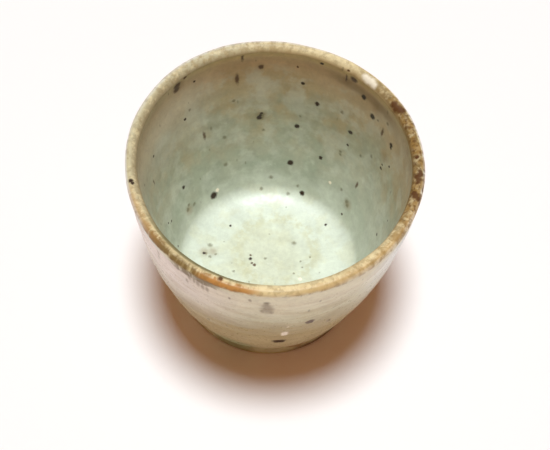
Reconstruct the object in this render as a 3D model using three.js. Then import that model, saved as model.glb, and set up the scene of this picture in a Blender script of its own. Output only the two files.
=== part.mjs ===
import * as THREE from 'three';

// A hand-thrown stoneware cup: a clay wall and floor, a turned foot ring, and three coats of glaze.
// Lengths are in millimetres and angles in radians. +Z is up, and the origin is on the ground,
// under the middle of the foot. The coats' outside is the finished surface of the cup.

// Driving sizes of the finished cup
const rimDiameter = 80;
const cupHeight = 62;
const footDiameter = 51.6;
const footHeight = 3.7;
const floorThickness = 4.3;
const lipThickness = 2.5;
const wallThickness = 2.8;

// Turned foot ring
const footRingWidth = 5;
const footBevel = 0.7;
const footWaist = 0.4;

// Glaze coats, each held off the clay and off the next coat by a hair
const glazeThickness = 0.5;
const glazeBond = 0.05;
const outerBandDepth = 4.2;
const innerBandDepth = 2.4;
const glazeFootMargin = 1.5;
const glazeRunDrop = 0.6;
const glazeRunCount = 7;

// Unevenness left by hand: the rim is a little longer one way than the other, and the lip waves
const rimOval = 0.8;
const rimOvalAngle = THREE.MathUtils.degToRad(108);
const lipWaveDrop = 0.5;
const lipWaveCount = 2;
const lipHighAngle = THREE.MathUtils.degToRad(54);

// Facets
const segments = 48;
const outerWallSteps = 14;
const innerWallSteps = 17;
const lipSteps = 6;

// Outer wall: [share of the way from the foot's waist out to the rim, share of the wall's height].
// It leaves the foot at a slant, bellies a little past half height, and has one soft turning ridge.
const outerWallShares = [
  [0, 0],
  [0.12, 0.045],
  [0.24, 0.12],
  [0.415, 0.245],
  [0.55, 0.37],
  [0.65, 0.45],
  [0.69, 0.485],
  [0.795, 0.61],
  [0.88, 0.76],
  [0.95, 0.89],
  [1, 1],
];

// Inner wall: [share of the wall's thickness, share of the depth above the floor]. The wall draws in
// under the lip's rounded edge and thickens downwards.
const innerWallShares = [
  [0.96, 0.955],
  [0.82, 0.895],
  [0.82, 0.81],
  [0.93, 0.68],
  [0.98, 0.43],
  [1, 0.21],
  [1.07, 0.115],
];

// Floor: [share of the radius where the inner wall ends, share of that end's height above the floor].
// It meets the wall in a wide curve.
const floorShares = [
  [0.945, 0.4],
  [0.83, 0.13],
  [0.65, 0.02],
  [0.4, 0],
  [0, 0],
];

const rimRadius = rimDiameter / 2;
const lipRadius = lipThickness / 2;
const lipBase = cupHeight - lipRadius;
const footRadius = footDiameter / 2;
const waistRadius = footRadius - footWaist;
const floorTop = footHeight + floorThickness;
const clayCover = glazeThickness + glazeBond;
const clayFootRadius = footRadius - clayCover;
const clayWaistRadius = waistRadius - clayCover;

const clayMaterial = new THREE.MeshStandardMaterial({ color: 0xb3926b, roughness: 0.85, metalness: 0 });
const footMaterial = new THREE.MeshStandardMaterial({ color: 0xa5825c, roughness: 0.9, metalness: 0 });
const innerGlazeMaterial = new THREE.MeshStandardMaterial({ color: 0xbfcab4, roughness: 0.25, metalness: 0 });
const outerGlazeMaterial = new THREE.MeshStandardMaterial({ color: 0xd3c5b0, roughness: 0.3, metalness: 0 });
const lipGlazeMaterial = new THREE.MeshStandardMaterial({ color: 0xbd8e55, roughness: 0.35, metalness: 0 });

// A smooth line through control points, as short straight steps.
function smoothLine(controls, steps) {
  return new THREE.SplineCurve(controls).getPoints(steps);
}

// The outer wall, from the foot's waist up to the start of the lip.
function outerWall() {
  const controls = outerWallShares.map(([outward, upward]) => new THREE.Vector2(
    THREE.MathUtils.lerp(waistRadius, rimRadius, outward),
    THREE.MathUtils.lerp(footHeight, lipBase, upward),
  ));
  return smoothLine(controls, outerWallSteps);
}

// The rounded lip, from its outer edge over the crest to its inner edge.
function lipRound() {
  return Array.from({ length: lipSteps - 1 }, (_, step) => {
    const turn = Math.PI * (step + 1) / lipSteps;
    return new THREE.Vector2(
      rimRadius - lipRadius + lipRadius * Math.cos(turn),
      lipBase + lipRadius * Math.sin(turn),
    );
  });
}

// The outer wall's radius at a height, read off its straight steps.
function outerRadiusAt(height) {
  const wall = outerWall();
  const above = Math.max(wall.findIndex((point) => point.y >= height), 1);
  const [start, end] = [wall[above - 1], wall[above]];
  return THREE.MathUtils.mapLinear(height, start.y, end.y, start.x, end.x);
}

// The inner wall and floor, from the lip's inner edge down to the middle of the floor.
function innerWall() {
  const wall = innerWallShares.map(([inward, upward]) => {
    const height = THREE.MathUtils.lerp(floorTop, lipBase, upward);
    return new THREE.Vector2(outerRadiusAt(height) - wallThickness * inward, height);
  });
  const wallEnd = wall[wall.length - 1];
  const floor = floorShares.map(([outward, upward]) => new THREE.Vector2(
    wallEnd.x * outward,
    THREE.MathUtils.lerp(floorTop, wallEnd.y, upward),
  ));
  const lipEdge = new THREE.Vector2(rimRadius - lipThickness, lipBase);
  return smoothLine([lipEdge, ...wall, ...floor], innerWallSteps);
}

// Adds a point to an outline where it climbs past a height, or sinks past it, and returns its index.
function addPointAtHeight(outline, height, climbing) {
  const isAbove = (point) => point.y > height;
  const passes = (point, index) => index > 0
    && isAbove(point) === climbing
    && isAbove(outline[index - 1]) !== climbing;
  const index = outline.findIndex(passes);
  const start = outline[index - 1];
  const share = (height - start.y) / (outline[index].y - start.y);
  outline.splice(index, 0, start.clone().lerp(outline[index], share));
  return index;
}

// Moves an outline into the clay, which lies on the left of its direction of travel.
function insetOutline(outline, depth) {
  return outline.map((point, index) => {
    const before = outline[Math.max(index - 1, 0)];
    const after = outline[Math.min(index + 1, outline.length - 1)];
    const along = after.clone().sub(before).normalize();
    const inset = new THREE.Vector2(point.x - along.y * depth, point.y + along.x * depth);
    return point.x === 0 ? new THREE.Vector2(0, point.y - depth) : inset;
  });
}

// The finished surface as one outline, from the glaze's lower edge on the foot to the floor's middle,
// with a point on each side of the two places where the lip's coat meets the others.
const skin = [new THREE.Vector2(footRadius, glazeFootMargin), ...outerWall(), ...lipRound(), ...innerWall()];
const outerGlazeEnd = addPointAtHeight(skin, lipBase - outerBandDepth - glazeBond, true);
const lipGlazeStart = addPointAtHeight(skin, lipBase - outerBandDepth, true);
const lipGlazeEnd = addPointAtHeight(skin, lipBase - innerBandDepth, false);
const innerGlazeStart = addPointAtHeight(skin, lipBase - innerBandDepth - glazeBond, false);
const coatBack = insetOutline(skin, glazeThickness);
const clayFace = insetOutline(skin, clayCover);

// Turns an outline about the cup's axis.
function turned(outline) {
  return new THREE.LatheGeometry(outline, segments).rotateX(Math.PI / 2);
}

// Gives a turned geometry the slow oval and the wavy lip that grow from the foot up to the rim.
function throwByHand(geometry) {
  const place = geometry.attributes.position;
  for (let index = 0; index < place.count; index += 1) {
    const [x, y, z] = [place.getX(index), place.getY(index), place.getZ(index)];
    const angle = Math.atan2(y, x);
    const rise = Math.max(z - footHeight, 0) / (cupHeight - footHeight);
    const stretch = 1 + rise * rimOval / rimRadius * Math.cos(2 * (angle - rimOvalAngle));
    const drop = rise * lipWaveDrop * (1 - Math.cos(lipWaveCount * (angle - lipHighAngle))) / 2;
    place.setXYZ(index, x * stretch, y * stretch, z - drop);
  }
  return geometry;
}

// Lets the glaze's lower edge hang in runs down the side of the foot.
function hangInRuns(geometry) {
  const place = geometry.attributes.position;
  for (let index = 0; index < place.count; index += 1) {
    const angle = Math.atan2(place.getY(index), place.getX(index));
    const nearEdge = Math.max(footHeight - place.getZ(index), 0) / (footHeight - glazeFootMargin);
    const run = glazeRunDrop * (1 + Math.sin(glazeRunCount * angle)) / 2;
    place.setZ(index, place.getZ(index) - run * nearEdge);
  }
  return geometry;
}

// A coat of glaze over a stretch of the finished surface.
function coat(start, end) {
  const front = skin.slice(start, end + 1);
  const back = coatBack.slice(start, end + 1).reverse();
  return [...front, ...back, front[0]];
}

function namedMesh(name, geometry, material) {
  const mesh = new THREE.Mesh(geometry, material);
  mesh.name = name;
  return mesh;
}

// The thrown wall and floor, flat underneath where the foot ring is turned.
function clayBody() {
  const underside = [new THREE.Vector2(0, footHeight), new THREE.Vector2(clayWaistRadius, footHeight)];
  const outline = [...underside, ...clayFace.slice(1)];
  return namedMesh('clay_body', throwByHand(turned(outline)), clayMaterial);
}

// The ring of bare clay that meets the ground, with turned bevels on both its lower edges. Its side
// draws in to a waist where the wall springs from it.
function footRing() {
  const innerRadius = clayFootRadius - footRingWidth;
  const outline = [
    new THREE.Vector2(innerRadius + footBevel, 0),
    new THREE.Vector2(clayFootRadius - footBevel, 0),
    new THREE.Vector2(clayFootRadius, footBevel),
    new THREE.Vector2(clayWaistRadius, footHeight),
    new THREE.Vector2(innerRadius, footHeight),
    new THREE.Vector2(innerRadius, footBevel),
    new THREE.Vector2(innerRadius + footBevel, 0),
  ];
  return namedMesh('foot_ring', turned(outline), footMaterial);
}

// The cream coat on the outer wall and the side of the foot.
function outerGlaze() {
  const geometry = hangInRuns(throwByHand(turned(coat(0, outerGlazeEnd))));
  return namedMesh('outer_glaze', geometry, outerGlazeMaterial);
}

// The iron-brown coat over the lip.
function lipGlaze() {
  const geometry = throwByHand(turned(coat(lipGlazeStart, lipGlazeEnd)));
  return namedMesh('lip_glaze', geometry, lipGlazeMaterial);
}

// The pale coat on the inner wall and the floor.
function innerGlaze() {
  const front = skin.slice(innerGlazeStart);
  const back = coatBack.slice(innerGlazeStart).reverse();
  const outline = [...back, ...front];
  return namedMesh('inner_glaze', throwByHand(turned(outline)), innerGlazeMaterial);
}

const cup = new THREE.Group();
cup.add(clayBody(), footRing(), outerGlaze(), lipGlaze(), innerGlaze());

export default cup;
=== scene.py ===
"""Dresses a hand-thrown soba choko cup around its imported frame.

Lengths are in metres, +Z is up, and the cup stands at the origin with the camera towards -Y. The clay,
the foot and the three glazes are each turned from an outline, as on a wheel, and then made uneven by
one shared rule, so that neighbouring pieces still meet.
"""

import math

import bpy
import numpy as np
from bpy.props import FloatProperty, FloatVectorProperty, IntProperty, PointerProperty
from mathutils import Matrix, Vector


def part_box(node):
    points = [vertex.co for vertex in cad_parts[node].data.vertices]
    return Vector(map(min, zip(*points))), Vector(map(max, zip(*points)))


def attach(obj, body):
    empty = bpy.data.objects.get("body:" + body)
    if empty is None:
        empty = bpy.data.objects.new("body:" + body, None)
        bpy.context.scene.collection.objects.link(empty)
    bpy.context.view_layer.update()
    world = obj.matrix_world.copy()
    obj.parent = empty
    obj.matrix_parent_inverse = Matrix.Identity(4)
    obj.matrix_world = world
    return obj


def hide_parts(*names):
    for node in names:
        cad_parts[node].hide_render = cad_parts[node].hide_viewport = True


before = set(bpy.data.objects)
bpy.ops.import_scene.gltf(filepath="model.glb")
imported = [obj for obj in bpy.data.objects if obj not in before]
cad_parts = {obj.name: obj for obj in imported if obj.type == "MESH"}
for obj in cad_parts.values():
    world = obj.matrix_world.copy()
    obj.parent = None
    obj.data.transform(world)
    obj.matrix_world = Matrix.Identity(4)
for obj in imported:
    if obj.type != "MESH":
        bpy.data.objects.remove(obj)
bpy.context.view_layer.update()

bl_info = {
    "name": "Soba choko cup",
    "version": (1, 0, 0),
    "blender": (4, 5, 0),
    "location": "3D View > Sidebar > Cup",
    "description": "Turns and glazes a hand-thrown soba choko cup around a packed frame",
    "category": "Add Mesh",
}

MM = 0.001

# Outer wall: (share of the way from the foot's waist out to the rim, share of the wall's height).
OUTER_WALL_SHARES = (
    (0, 0), (0.12, 0.045), (0.24, 0.12), (0.415, 0.245), (0.55, 0.37), (0.65, 0.45),
    (0.69, 0.485), (0.795, 0.61), (0.88, 0.76), (0.95, 0.89), (1, 1),
)
# Inner wall: (share of the wall's thickness, share of the depth above the floor).
INNER_WALL_SHARES = (
    (0.96, 0.955), (0.82, 0.895), (0.82, 0.81), (0.93, 0.68), (0.98, 0.43), (1, 0.21), (1.07, 0.115),
)
# Floor: (share of the radius where the inner wall ends, share of that end's height above the floor).
FLOOR_SHARES = ((0.945, 0.4), (0.83, 0.13), (0.65, 0.02), (0.4, 0), (0, 0))

# A mark on the glaze is (angle round the cup in degrees, millimetres past the lip's crest, width in
# millimetres). The crest is 0, the outside is below it and the inside above it.
IRON_SPECKS = (
    (130.5, 51.5, 2.4), (68.5, 54, 1.6), (79.5, 44.5, 1.8), (78.5, 30.5, 1.5), (70, 20, 1.4),
    (50, 24, 1.5), (48, 9, 1.7), (41, 13, 1.9), (25, 14.5, 1.4), (24.6, 15.3, 1.1), (62.5, 39, 1.2),
    (49.5, 29, 0.8), (148.5, 40.5, 1.2), (78, 14, 1.1), (70.5, 4.5, 1.1), (162.5, 75, 1), (172, 61, 0.9),
    (36, 52, 0.8), (25.5, 25, 0.9), (25.5, 23.5, 0.7), (2, 39, 0.9), (40, 58.5, 0.8), (161, 18.5, 0.8),
    (172, 42, 0.7), (168.5, 43.5, 0.7), (176.5, 51, 0.7), (133, 63, 0.8), (135.5, 19, 0.8),
    (20.5, 20.5, 0.7), (127.5, 8, 0.8), (1, 30.5, 0.6), (-36, 33.5, 1.3), (-88, 21.5, 1),
    (-132, 37.5, 1.4), (-64, 47.5, 0.8), (-154, 18.5, 1.1), (-108, 49.5, 0.9), (-20, 12.5, 0.9),
    (-118, 9.5, 0.8), (-166.3, 0, 1.4), (-165, 0.3, 1), (96.7, 26.6, 0.9), (97.3, 27.4, 1),
    (97.8, 28.2, 1.5), (-86.5, -42.1, 1), (-85.5, -42, 1.6), (-84.5, -41.9, 2), (-83.5, -41.8, 2.3),
    (-82.5, -41.7, 2.3), (-81.5, -41.5, 1.5), (-84.7, -43.1, 1.6), (-83.5, -43, 2), (-82.3, -42.9, 1.8),
    (62, -33, 1.6), (118, -19, 1.2), (151, -41, 1.4), (-14, -28, 1.1), (-168, -24, 1.3), (21, -15, 0.9),
    (85, -47, 1), (-150, -45, 0.9), (101, -31, 0.8), (-35, -44, 1),
)
SMUDGES = (
    (-90.6, -6.2, 1.4), (97.4, 28, 2), (96.5, 27.2, 1.3), (116.5, 33, 1.2), (132, 17, 0.8),
    (110, 20.5, 0.9), (95.5, 33, 0.8), (-164, 70, 0.8), (-4.5, 70.5, 0.6), (-21, 72.5, 0.6),
    (77.5, 26.5, 0.7), (52.5, 33, 1), (52, 34, 0.9), (40.5, 29, 1), (34, 25.5, 1), (31.5, 10, 1),
    (72.5, 52, 1), (78, 55.5, 1), (97, 54.5, 1), (90.5, 50.5, 1.2), (146, 49, 1.1), (152, 48.5, 1.2),
    (150, 47.5, 0.9), (118, 43, 1.3), (37, 47, 1.4), (35.5, 48, 1.1), (44, 45, 0.9), (45.5, 70, 1.2),
    (162.5, 62, 1.3), (172, 61.5, 0.8), (174.5, 63, 0.8), (170.5, 64.5, 0.7), (117.5, 78.5, 0.8),
    (57, 19, 1.1), (37.5, 12.5, 0.7), (178, 18, 0.7), (7.5, 71, 0.6), (13, 68, 0.6), (-50, 28.5, 1.4),
    (-100, 36.5, 1.3), (-145, 29.5, 1.2), (-75, 15.5, 1.1),
)
RUST_MARKS = (
    (54.5, 4.8, 2.3), (57.5, 2.2, 0.8), (136.8, 4.8, 2.5), (137.2, 6.3, 2.1), (132.5, 3.6, 1.2),
    (97, 9.4, 1.5), (81, 8.5, 0.7), (-173.5, 76.5, 1), (177, 75.7, 0.7), (151.5, 74.5, 0.7),
    (-30, 5.5, 1.6), (-82, 7.5, 1.2), (-126, 5, 1.8), (29, 1.2, 2.5), (31, 1.2, 2.1), (27.5, 0.8, 2.2),
    (26.5, 0.2, 1.9), (-14.5, 1, 1.7), (-6.5, 0.8, 1.9), (-5.2, 0, 1.7), (-8, 0.5, 1.6),
    (-15.5, 0.5, 2.1), (-16.5, -0.4, 1.5), (-4, 0.2, 1.2), (-9, 0.6, 1.2), (3, 1, 1.1), (-108, 0.5, 1.3),
    (-73.9, -23.3, 1.1), (-73.2, -23.2, 1.7), (-72.4, -23, 1.9), (-71.7, -22.8, 1.2), (-73, -24.2, 1.3),
    (-72.2, -24, 1.3), (-3, -1.6, 1), (-8, -1.8, 0.9), (-12, -1.6, 1.1),
)
# Dashes are marks that the flowing glaze has drawn out down the wall.
DASHES = (
    (107.7, 12.7, 1.1), (105.2, 4.6, 0.8), (127, 29.2, 0.9), (58.3, 6, 0.7), (33, 14.6, 0.9),
    (35.7, 39, 0.8), (168, 25, 0.7), (-45, 22, 0.8), (-110, 30, 0.7),
)
GHOSTS = (
    (-90.6, -7.2, 1.5), (-90.4, -9.4, 2.5), (-90.2, -10.4, 3), (-91.9, -12, 1.3), (-88.9, -12.4, 1.3),
    (-104, -7, 0.7), (-96.5, -5.5, 0.8), (-63.5, -27.7, 1.2), (138, -12, 2.4), (44, -21, 1.8),
    (173, -31, 2.2), (-5, -12, 1.6), (98, -16, 2.6), (99.5, -18.5, 2),
)
# Drips are thin runs of the lip's glaze down the outside.
DRIPS = (
    (-119.8, -4.4, 1), (-118, -5, 0.8), (-116.3, -5.4, 1.2), (-114.4, -6.1, 1), (-112.6, -6.4, 0.9),
    (-121.4, -8, 0.8), (-136.2, -6.2, 0.9), (-137, -9, 0.8),
)
HALOS = (
    (54.5, 2.2, 2), (57.5, 6.5, 2.4), (135.5, 5.5, 3), (107.5, 12.5, 2), (97, 9.5, 2.2), (97, 27.5, 2.4),
    (170, 61, 2.4), (168, 63.5, 2.4), (29, 1.5, 3.8), (40, 9, 3.4), (26, 20, 3), (35.5, 47.5, 2.6),
    (151, 49, 2.6),
)
# White marks: lumps of unmelted ash, and painted highlights. The spot beside the large iron speck inside
# is a painted glint, and the white spots on the front of the outer wall are partly painted highlights on
# raised drops.
ASH_SPOTS_AND_GLINTS = (
    (127, 50.5, 1.2), (52.5, 45.5, 1), (-26.5, 70, 1), (-82.3, -29.9, 1.7), (-82.3, -31, 2),
    (-82.3, -32.1, 1.7), (-81.6, -24.5, 0.7), (74, -14, 1.4), (164, -36, 1.6),
)
BARE_SPOTS = ((49.4, 1.2, 2), (47.8, 1.5, 2.4), (46, 1.2, 2.3), (44.3, 1.6, 2))
# A kind of mark is (name of its colour, how softly it ends, strength, share of its height that is left
# when its width is measured, marks).
MARK_KINDS = (
    ("halo", 1, 0.5, 1, HALOS),
    ("smudge", 0.7, 0.65, 1, SMUDGES),
    ("ghost", 0.6, 0.65, 0.5, GHOSTS),
    ("rust", 0.45, 0.92, 1, RUST_MARKS),
    ("rust", 0.6, 0.85, 0.24, DASHES),
    ("umber", 0.8, 0.6, 0.3, DRIPS),
    ("ash", 0.4, 0.95, 1, ASH_SPOTS_AND_GLINTS),
    ("bare", 0.6, 0.95, 1, BARE_SPOTS),
    ("iron", 0.4, 1, 1, IRON_SPECKS),
)
# How far past a coat's ends its marks are still drawn, in millimetres.
MARK_REACH = 3
# Lumps are marks that stand out of the glaze, with a height in millimetres after their width.
INNER_LUMPS = ((128.5, 51.4, 3, 0.12), (125.2, 50.2, 1.6, 0.2))
ASH_LUMP_WIDTH = 1.3
ASH_LUMP_HEIGHT = 0.22

RANGE = "ShaderNodeMapRange"
NOISE = "ShaderNodeTexNoise"
MIX = "ShaderNodeMix"
NODES_IN_COLUMN = 12
COLUMN_WIDTH = 200
ROW_HEIGHT = 180


def add(tree, kind, *values, named=None, **settings):
    """Adds a node to a tree and gives its first output; the others are in that output's node.

    Values go to the inputs in use, in order, and named ones by their names. A value is a number, a
    colour, or an output of another node, which is linked. Settings are the node's own options.
    """
    node = tree.nodes.new(kind)
    column, row = divmod(len(tree.nodes) - 1, NODES_IN_COLUMN)
    node.location = (COLUMN_WIDTH * column, -ROW_HEIGHT * row)
    for name, value in settings.items():
        setattr(node, name, value)
    used = [socket for socket in node.inputs if socket.enabled]
    by_name = [(node.inputs[name], value) for name, value in (named or {}).items()]
    for socket, value in [*zip(used, values), *by_name]:
        if isinstance(value, bpy.types.NodeSocket):
            tree.links.new(value, socket)
        else:
            socket.default_value = value
    return next((socket for socket in node.outputs if socket.enabled), None)


def maths(tree, operation, *values, **settings):
    """One step of arithmetic with numbers."""
    return add(tree, "ShaderNodeMath", *values, operation=operation, **settings)


def vector(tree, operation, *values, **settings):
    """One step of arithmetic with places, directions or colours."""
    return add(tree, "ShaderNodeVectorMath", *values, operation=operation, **settings)


def product(tree, first, *factors):
    """All the values multiplied together."""
    for factor in factors:
        first = maths(tree, "MULTIPLY", first, factor)
    return first


def fade(tree, value, start, end, low=0, high=1):
    """Goes softly from low to high while the value goes from start to end."""
    return add(tree, RANGE, value, start, end, low, high, interpolation_type="SMOOTHSTEP")


def linear(hex_colour):
    """The linear values of an sRGB colour written as six hex digits."""
    channels = [int(hex_colour[start:start + 2], 16) / 255 for start in (0, 2, 4)]
    return tuple(c / 12.92 if c <= 0.04045 else ((c + 0.055) / 1.055) ** 2.4 for c in channels)


def length(name, description, default):
    """A property that holds a length in metres."""
    return FloatProperty(
        name=name, description=description, default=default, min=0, unit="LENGTH", precision=5)


def colour(name, description, default):
    """A property that holds a colour, given as sRGB hex."""
    return FloatVectorProperty(
        name=name, description=description, default=linear(default), size=3, min=0, max=1,
        subtype="COLOR")


lip_low, lip_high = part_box("lip_glaze")
foot_low, foot_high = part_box("foot_ring")
RIM_DIAMETER = (lip_high.x - lip_low.x + lip_high.y - lip_low.y) / 2
GLAZE_THICKNESS = 0.5 * MM
GLAZE_BOND = 0.05 * MM
FOOT_DIAMETER = foot_high.x - foot_low.x + 2 * (GLAZE_THICKNESS + GLAZE_BOND)


class CupSizes(bpy.types.PropertyGroup):
    """Sizes of the finished cup, with its glaze on."""

    rim_diameter: length("Rim diameter", "Mean width across the lip", RIM_DIAMETER)
    cup_height: length("Cup height", "Ground to the highest point of the lip", lip_high.z)
    foot_diameter: length("Foot diameter", "Width across the glazed foot", FOOT_DIAMETER)
    foot_height: length("Foot height", "Ground to the waist where the wall starts", foot_high.z)
    foot_waist: length("Foot waist", "How far the foot's side draws in up to its waist", 0.4 * MM)
    foot_ring_width: length("Foot ring width", "Width of the ring that meets the ground", 5 * MM)
    foot_bevel: length("Foot bevel", "Turned rounding on the ring's lower edges", 0.5 * MM)
    floor_thickness: length("Floor thickness", "Foot's height up to the glazed floor", 4.3 * MM)
    wall_thickness: length("Wall thickness", "Thickness of the glazed wall", 2.8 * MM)
    lip_thickness: length("Lip thickness", "Twice the rounding of the lip's outer edge", 2.5 * MM)
    lip_roll: length("Lip roll", "How far the lip rolls inwards from its crest", 2.1 * MM)
    lip_roll_drop: length("Lip roll drop", "How far the lip drops over that roll", 1.9 * MM)
    glaze_thickness: length("Glaze thickness", "Thickness of each coat of glaze", GLAZE_THICKNESS)
    clay_gap: length("Clay gap", "Hair's breadth between a coat and the clay", 0.15 * MM)
    outer_band: length("Outer lip band", "How far the lip's coat runs down the outside", 4.2 * MM)
    inner_band: length("Inner lip band", "How far the lip's coat runs down the inside", 2.4 * MM)
    foot_margin: length("Foot margin", "Bare clay under the glaze on the foot's side", 0.5 * MM)


class HandMarks(bpy.types.PropertyGroup):
    """Unevenness that the thrower's hands, the wheel and the kiln leave."""

    oval: length("Oval", "How far the rim swells one way and draws in the other", 0.82 * MM)
    oval_angle: FloatProperty(name="Oval angle", default=math.radians(108), subtype="ANGLE")
    corner: length("Corners", "How far the rim swells at three soft corners", 0.33 * MM)
    corner_angle: FloatProperty(name="Corner angle", default=math.radians(12), subtype="ANGLE")
    lip_wave: length("Lip wave", "Fall from the lip's two high sides to its low ones", 0.5 * MM)
    lip_high_angle: FloatProperty(name="Lip's high side", default=math.radians(54), subtype="ANGLE")
    lip_tilt: length("Lip tilt", "How much higher the far side of the lip stands", 0.26 * MM)
    lean_right: length("Lean to the right", "How far the rim stands right of the foot", 0.73 * MM)
    lean_back: length("Lean back", "How far the rim stands behind the foot", 0.36 * MM)
    wobble: length("Wobble", "Depth of the broad soft facets", 0.45 * MM)
    wobble_size: length("Wobble size", "Width of the broad soft facets", 17 * MM)
    ripple: length("Ripple", "Depth of the small ripples in the glaze", 0.05 * MM)
    ripple_size: length("Ripple size", "Width of the small ripples in the glaze", 4.5 * MM)
    ring_pitch: length("Throwing ring pitch", "Rise of the fingers in one turn of the wheel", 5.2 * MM)
    outer_rings: length("Outer throwing rings", "Depth of the rings outside", 0.03 * MM)
    inner_rings: length("Inner throwing rings", "Depth of the rings inside", 0.03 * MM)
    turned_rings: length("Turning marks", "Depth of the tool's spiral under the foot", 0.1 * MM)
    turned_pitch: length("Turning pitch", "Step of the tool's spiral under the foot", 1.7 * MM)
    ridges: length("Turning ridges", "Height of the short ridges on the outer wall", 0.34 * MM)
    run_drop: length("Run drop", "How far the glaze's lower edge hangs down in runs", 0.2 * MM)
    run_swell: length("Run swell", "How much the glaze thickens where it pools at the foot", 0.22 * MM)
    seed: IntProperty(name="Seed", description="Where the wobble and ripples start", default=3)


class CupColours(bpy.types.PropertyGroup):
    """Colours of the clay and the glazes."""

    # Painted shade and light along the outer wall: the stops darken below the belly, partly painted
    # shade, and the foot's edge is lighter, painted light on the shaded side of the foot.
    foot_edge: colour("Foot edge", "Thin glaze on the side of the foot", "D2DAB0")
    outer_low: colour("Outer wall, low", "Ash glaze above the foot", "BBAD84")
    outer_mid: colour("Outer wall, middle", "Ash glaze below the belly", "B5AA7E")
    outer_belly: colour("Outer wall, belly", "Ash glaze down to the belly", "D3D3B0")
    outer_high: colour("Outer wall, high", "Putty-coloured ash glaze under the lip", "ECECCE")
    lip_outside: colour("Lip, outside", "Golden glaze on the outside of the lip", "D8CA94")
    lip_crest: colour("Lip, crest", "Thin cream glaze on the crest of the lip", "CABD90")
    # The lip's inside and the groove under it are lighter than the wall below: painted light against the
    # shade under the lip's roll.
    lip_inside: colour("Lip, inside", "Glaze that thickens again inside the lip", "D6C696")
    under_lip: colour("Under the lip", "Brownish glaze in the groove inside", "D8C29A")
    inner_high: colour("Inner wall, high", "Celadon stained warm by the lip", "C2B38A")
    inner_mid: colour("Inner wall, middle", "Celadon on the inner wall", "BFBDA0")
    inner_low: colour("Inner wall, low", "Celadon where it thickens", "B3BBA8")
    floor: colour("Floor", "Milky celadon on the floor", "DAE2D1")
    khaki: colour("Khaki", "Thin celadon that shows the clay", "B5A272")
    grey_green: colour("Grey-green", "Thick celadon in clouds", "A6B4A0")
    # Milk also paints light on the shaded upper wall and groove on the left, inside the lip.
    milk: colour("Milk", "Thickest celadon, which clouds white", "D2DACB")
    beige: colour("Beige", "Thin glaze in a ring on the floor", "C8C6A0")
    iron: colour("Iron speck", "Dark iron burnt through the glaze", "2C1600")
    # Rust also paints the shadow along the foot's lower edge on the right.
    rust: colour("Rust", "Iron that has run brown", "502C00")
    smudge: colour("Smudge", "Olive-grey iron under the glaze", "66603F")
    ghost: colour("Ghost", "Grey-brown clay that shows through the outer glaze", "7C6848")
    halo: colour("Halo", "Brown bloom round the larger iron marks", "94794A")
    # Ash also paints glints: beside the large iron speck inside and on the raised drops on the front.
    ash: colour("Ash", "White lumps of unmelted ash", "FFF6E0")
    # Besides the bare spots, this colour paints light into the shaded groove behind the lip on the left.
    bare: colour("Bare", "White slip where the lip's glaze has drawn back", "F4F2DC")
    pink: colour("Pink", "Rosy flush of the clay through the glaze", "F8EEEA")
    # On the right flank the bloom is partly a painted reflection of the lit floor.
    bloom: colour("Bloom", "Chalky white bloom on the glaze", "F0FCFC")
    burnt: colour("Burnt orange", "Thickest iron on the lip", "BC8846")
    golden: colour("Golden", "Golden patches on the right of the lip", "97783C")
    umber: colour("Umber", "Olive-brown iron on the lip", "765F30")
    # Where the near lip turns inwards, this line is partly painted shade.
    dark_edge: colour("Dark edge", "Olive line where the lip turns inwards", "68663F")
    # Cream also paints the highlight along the near crest and its glints, and light in the shaded groove
    # behind the far lip.
    cream: colour("Cream", "Thick cream glaze on the lip", "F6ECBC")
    pale: colour("Pale", "Grey-cream glaze on the far side of the lip", "C6C5A4")
    pool: colour("Pool", "Green glaze pooled above the foot", "9FAC80")
    clay: colour("Clay", "Fired buff stoneware", "B3926B")
    toasted: colour("Toasted clay", "Stoneware toasted at the foot", "B98D62")


class SobaChokoCup(bpy.types.PropertyGroup):
    """Everything that a user would change on the cup."""

    sizes: PointerProperty(type=CupSizes)
    hand: PointerProperty(type=HandMarks)
    colours: PointerProperty(type=CupColours)


# An outline is an array with a row for each of its points. Its columns are the distance from the cup's
# axis, the height, the millimetres past the lip's crest, and the two parts of the way out of the clay.
RADIUS, HEIGHT, PAST_LIP, OUT_RADIUS, OUT_HEIGHT = range(5)
SURFACE_STEP = 0.45 * MM
LIP_STEP = 0.25 * MM
BACK_STEP = 1.6 * MM
CURVE_STEPS = 400
LIP_STEPS = 24
END_STEPS = 6
# Points that are nearer to each other than this are one, in metres.
SAME_PLACE = 1e-9


def smooth_line(controls, steps=CURVE_STEPS):
    """Points on the Catmull-Rom line through the control points, which keeps to both end points."""
    controls = np.array(controls, float)
    last = len(controls) - 1
    place = np.linspace(0, last, steps + 1)
    first = np.minimum(place.astype(int), last - 1)
    share = (place - first)[:, None]
    before, start, end, after = (controls[np.clip(first + k, 0, last)] for k in (-1, 0, 1, 2))
    leave, arrive = (end - before) / 2, (after - start) / 2
    return (
        (2 * start - 2 * end + leave + arrive) * share ** 3
        + (3 * end - 3 * start - 2 * leave - arrive) * share ** 2
        + leave * share
        + start
    )


def travelled(points):
    """How far along a line each of its points lies."""
    steps = np.hypot(*np.diff(points[:, :2], axis=0).T)
    return np.concatenate([[0], np.cumsum(steps)])


def evenly(points, step):
    """The same line with its points about one step apart."""
    along = travelled(points)
    places = np.linspace(0, along[-1], max(int(round(along[-1] / step)), 1) + 1)
    return np.column_stack([np.interp(places, along, column) for column in points.T])


def lip_base(sizes):
    """The height where the outer wall ends and the lip's rounding starts."""
    return sizes.cup_height - sizes.lip_thickness / 2


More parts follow.
